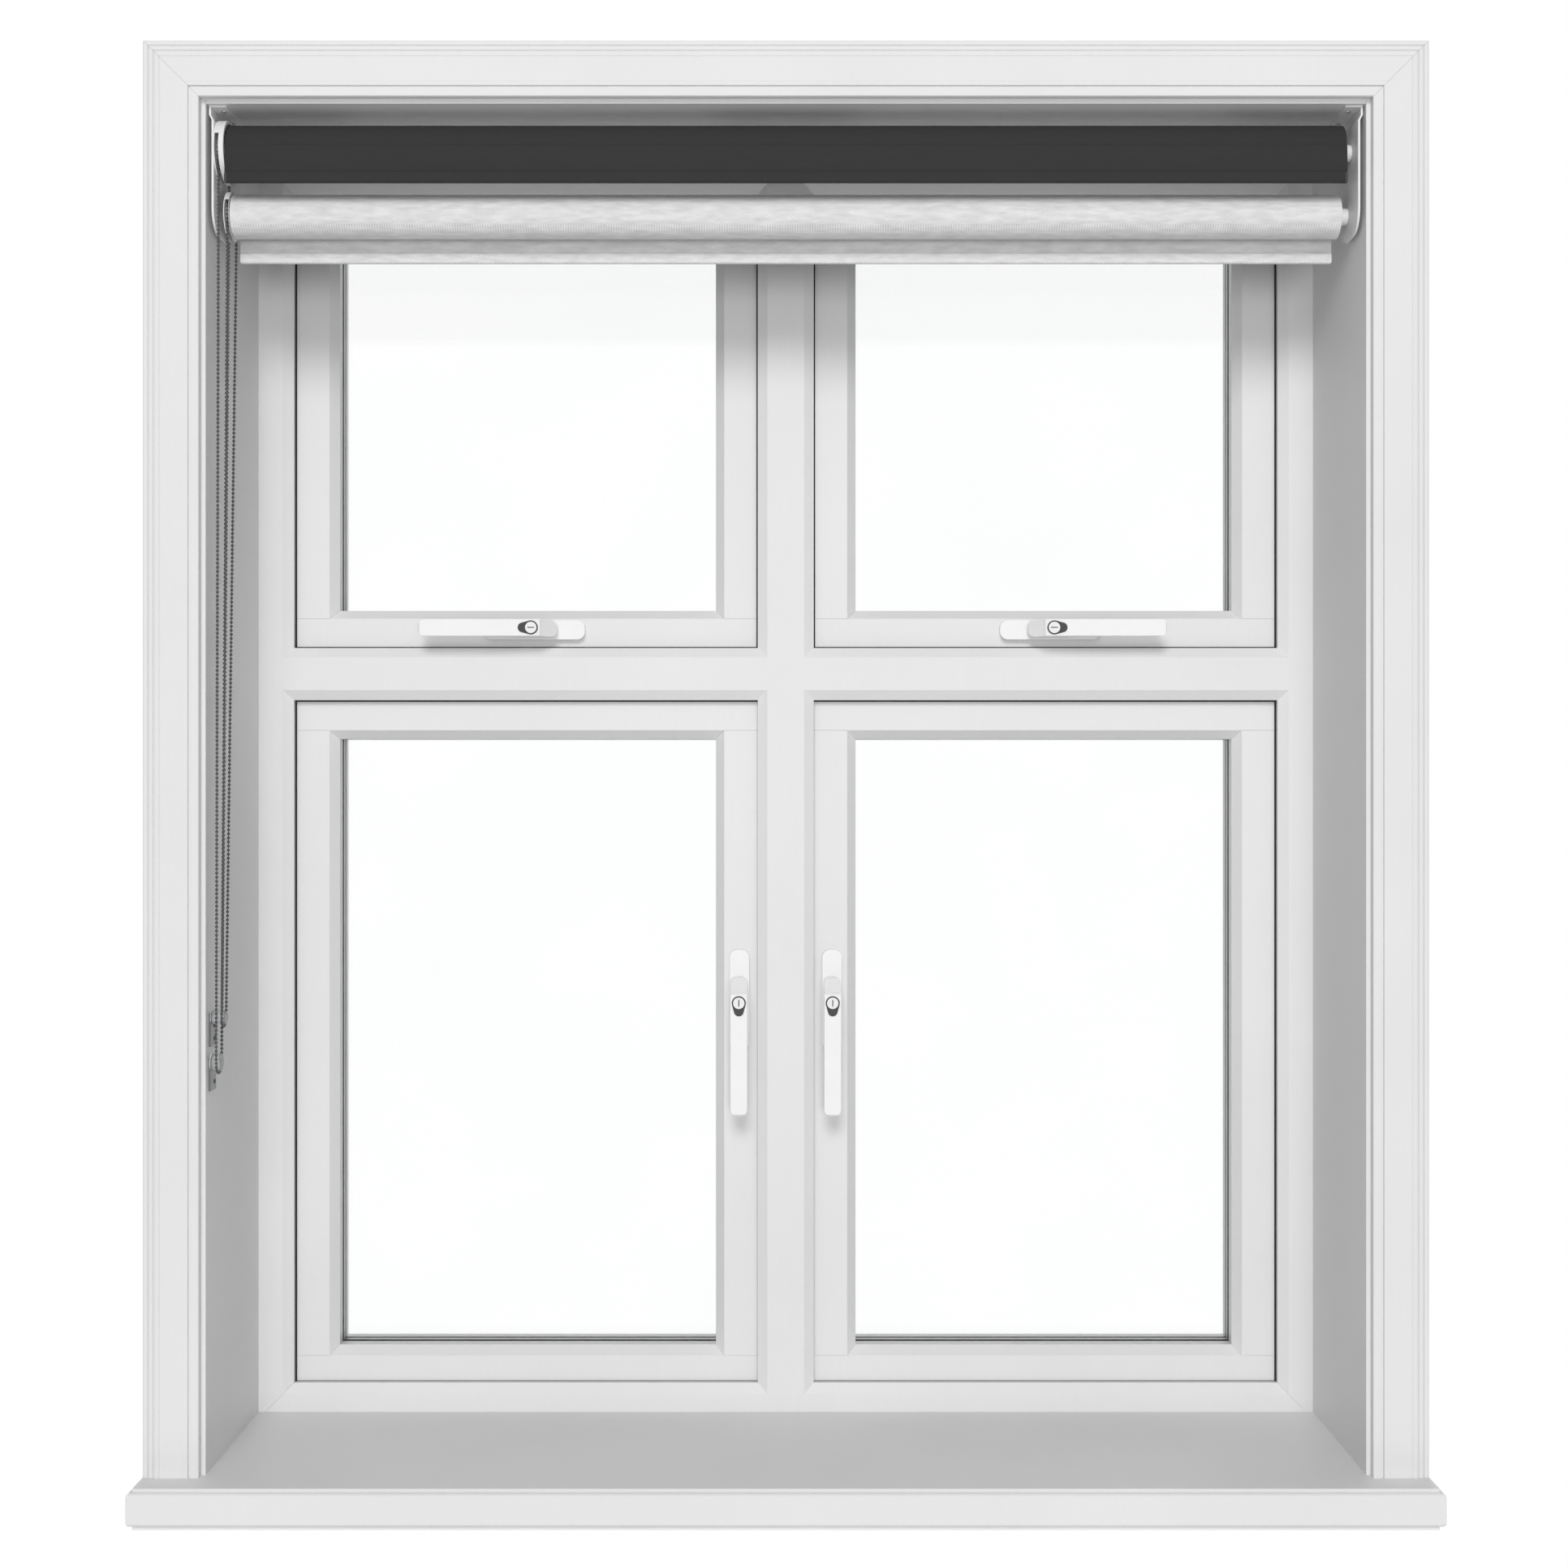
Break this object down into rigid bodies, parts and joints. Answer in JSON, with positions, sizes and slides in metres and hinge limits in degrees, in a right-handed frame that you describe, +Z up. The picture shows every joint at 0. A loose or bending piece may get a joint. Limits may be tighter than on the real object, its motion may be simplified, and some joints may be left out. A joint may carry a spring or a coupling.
{
  "type": "casement window",
  "caption": "White timber casement window with side-hung and top-hung sashes, panelled reveal, window board and twin roller blinds.",
  "frame": {"origin": "under the window board, on the middle line, in the plane of the wall's room face", "axes": "+X to the right seen from the room, +Y out of doors, +Z up"},
  "size_m": [1.214, 0.37, 1.383],
  "materials": {
    "frame_paint": "satin white paint on timber",
    "reveal_paint": "satin white paint on boards",
    "seal_rubber": "black weather seal",
    "glass": "clear float glass",
    "hardware_steel": "brushed zinc-plated steel",
    "handle_white": "white powder coat",
    "lock_metal": "satin white key barrel",
    "bracket_white": "white powder coat",
    "drive_plastic": "white moulded plastic",
    "cleat_clear": "clear moulded plastic",
    "chain_steel": "bright ball chain",
    "tube_aluminium": "mill finish",
    "blackout_fabric": "coated blackout cloth",
    "sheer_fabric": "plain woven cloth"
  },
  "bodies": {
    "frame": {"jamb_left": "frame_paint", "jamb_right": "frame_paint", "frame_head": "frame_paint", "frame_cill": "frame_paint", "mullion": "frame_paint", "transoms": "frame_paint", "outer_sill": "frame_paint", "weather_seals": "seal_rubber", "frame_leaves": "hardware_steel", "hinge_pins": "hardware_steel", "keeps": "hardware_steel", "lining": "reveal_paint", "architrave": "reveal_paint", "window_board": "reveal_paint", "blind_brackets": "bracket_white", "drive_cups": "drive_plastic", "chain_cleats": "cleat_clear", "bead_chains": "chain_steel", "blackout_cloth": "blackout_fabric", "sheer_cloth": "sheer_fabric"},
    "blackout_roller": {"blackout_sprocket": "drive_plastic", "blackout_tube": "tube_aluminium", "blackout_roll": "blackout_fabric"},
    "sheer_roller": {"sheer_sprocket": "drive_plastic", "sheer_tube": "tube_aluminium", "sheer_roll": "sheer_fabric"},
    "blackout_bar": {"blackout_hem": "blackout_fabric"},
    "sheer_bar": {"sheer_hem": "sheer_fabric"},
    "light_lower_left": {"sash_lower_left": "frame_paint", "beads_lower_left": "frame_paint", "glass_lower_left": "glass", "hinges_lower_left": "hardware_steel", "base_lower_left": "handle_white"},
    "lever_lower_left": {"handle_lower_left": "handle_white"},
    "key_lower_left": {"lock_lower_left": "lock_metal"},
    "bolt_lower_left": {"rod_lower_left": "hardware_steel"},
    "light_lower_right": {"sash_lower_right": "frame_paint", "beads_lower_right": "frame_paint", "glass_lower_right": "glass", "hinges_lower_right": "hardware_steel", "base_lower_right": "handle_white"},
    "lever_lower_right": {"handle_lower_right": "handle_white"},
    "key_lower_right": {"lock_lower_right": "lock_metal"},
    "bolt_lower_right": {"rod_lower_right": "hardware_steel"},
    "light_upper_left": {"sash_upper_left": "frame_paint", "beads_upper_left": "frame_paint", "glass_upper_left": "glass", "hinges_upper_left": "hardware_steel", "base_upper_left": "handle_white"},
    "lever_upper_left": {"handle_upper_left": "handle_white"},
    "key_upper_left": {"lock_upper_left": "lock_metal"},
    "bolt_upper_left": {"rod_upper_left": "hardware_steel"},
    "light_upper_right": {"sash_upper_right": "frame_paint", "beads_upper_right": "frame_paint", "glass_upper_right": "glass", "hinges_upper_right": "hardware_steel", "base_upper_right": "handle_white"},
    "lever_upper_right": {"handle_upper_right": "handle_white"},
    "key_upper_right": {"lock_upper_right": "lock_metal"},
    "bolt_upper_right": {"rod_upper_right": "hardware_steel"}
  },
  "joints": [
    {"name": "lower_left_sash_swing", "type": "hinge", "parent": "frame", "child": "light_lower_left", "pos_m": [-0.5205, 0.283, 0.42], "axis": [0, 0, 1], "range_deg": [0, 90]},
    {"name": "lower_left_handle_turn", "type": "hinge", "parent": "light_lower_left", "child": "lever_lower_left", "pos_m": [-0.048, 0.2, 0.463], "axis": [0, 1, 0], "range_deg": [0, 90]},
    {"name": "lower_left_key_turn", "type": "hinge", "parent": "lever_lower_left", "child": "key_lower_left", "pos_m": [-0.048, 0.185, 0.463], "axis": [0, 1, 0], "range_deg": [0, 90]},
    {"name": "lower_left_rod_slide", "type": "slide", "parent": "light_lower_left", "child": "bolt_lower_left", "axis": [0, 0, 1], "range_m": [0, 0.0181]},
    {"name": "lower_right_sash_swing", "type": "hinge", "parent": "frame", "child": "light_lower_right", "pos_m": [0.5205, 0.283, 0.42], "axis": [0, 0, -1], "range_deg": [0, 90]},
    {"name": "lower_right_handle_turn", "type": "hinge", "parent": "light_lower_right", "child": "lever_lower_right", "pos_m": [0.048, 0.2, 0.463], "axis": [0, -1, 0], "range_deg": [0, 90]},
    {"name": "lower_right_key_turn", "type": "hinge", "parent": "lever_lower_right", "child": "key_lower_right", "pos_m": [0.048, 0.185, 0.463], "axis": [0, -1, 0], "range_deg": [0, 90]},
    {"name": "lower_right_rod_slide", "type": "slide", "parent": "light_lower_right", "child": "bolt_lower_right", "axis": [0, 0, 1], "range_m": [0, 0.0181]},
    {"name": "upper_left_sash_swing", "type": "hinge", "parent": "frame", "child": "light_upper_left", "pos_m": [-0.2695, 0.283, 1.3085], "axis": [1, 0, 0], "range_deg": [0, 45]},
    {"name": "upper_left_handle_turn", "type": "hinge", "parent": "light_upper_left", "child": "lever_upper_left", "pos_m": [-0.2605, 0.2, 0.847], "axis": [0, 1, 0], "range_deg": [0, 90]},
    {"name": "upper_left_key_turn", "type": "hinge", "parent": "lever_upper_left", "child": "key_upper_left", "pos_m": [-0.2605, 0.185, 0.847], "axis": [0, 1, 0], "range_deg": [0, 90]},
    {"name": "upper_left_rod_slide", "type": "slide", "parent": "light_upper_left", "child": "bolt_upper_left", "axis": [1, 0, 0], "range_m": [0, 0.0181]},
    {"name": "upper_right_sash_swing", "type": "hinge", "parent": "frame", "child": "light_upper_right", "pos_m": [0.2695, 0.283, 1.3085], "axis": [1, 0, 0], "range_deg": [0, 45]},
    {"name": "upper_right_handle_turn", "type": "hinge", "parent": "light_upper_right", "child": "lever_upper_right", "pos_m": [0.2745, 0.2, 0.847], "axis": [0, -1, 0], "range_deg": [0, 90]},
    {"name": "upper_right_key_turn", "type": "hinge", "parent": "lever_upper_right", "child": "key_upper_right", "pos_m": [0.2745, 0.185, 0.847], "axis": [0, -1, 0], "range_deg": [0, 90]},
    {"name": "upper_right_rod_slide", "type": "slide", "parent": "light_upper_right", "child": "bolt_upper_right", "axis": [-1, 0, 0], "range_m": [0, 0.0181]},
    {"name": "blackout_roller_turn", "type": "hinge", "parent": "frame", "child": "blackout_roller", "pos_m": [0, 0.033, 1.2885], "axis": [1, 0, 0], "range_deg": [0, 2644]},
    {"name": "blackout_hem_drop", "type": "slide", "parent": "frame", "child": "blackout_bar", "axis": [0, 0, -1], "range_m": [0, 1.201], "deforming": ["blackout_cloth"]},
    {"name": "sheer_roller_turn", "type": "hinge", "parent": "frame", "child": "sheer_roller", "pos_m": [0, 0.046, 1.2313], "axis": [-1, 0, 0], "range_deg": [0, 3055]},
    {"name": "sheer_hem_drop", "type": "slide", "parent": "frame", "child": "sheer_bar", "axis": [0, 0, -1], "range_m": [0, 1.121], "deforming": ["sheer_cloth"]}
  ],
  "couplings": [
    {"joint": "lower_left_rod_slide", "follows": "lower_left_handle_turn", "m_per_rad": 0.011459},
    {"joint": "lower_right_rod_slide", "follows": "lower_right_handle_turn", "m_per_rad": 0.011459},
    {"joint": "upper_left_rod_slide", "follows": "upper_left_handle_turn", "m_per_rad": 0.011459},
    {"joint": "upper_right_rod_slide", "follows": "upper_right_handle_turn", "m_per_rad": 0.011459},
    {"joint": "blackout_hem_drop", "follows": "blackout_roller_turn", "m_per_rad": 0.026},
    {"joint": "sheer_hem_drop", "follows": "sheer_roller_turn", "m_per_rad": 0.021}
  ]
}
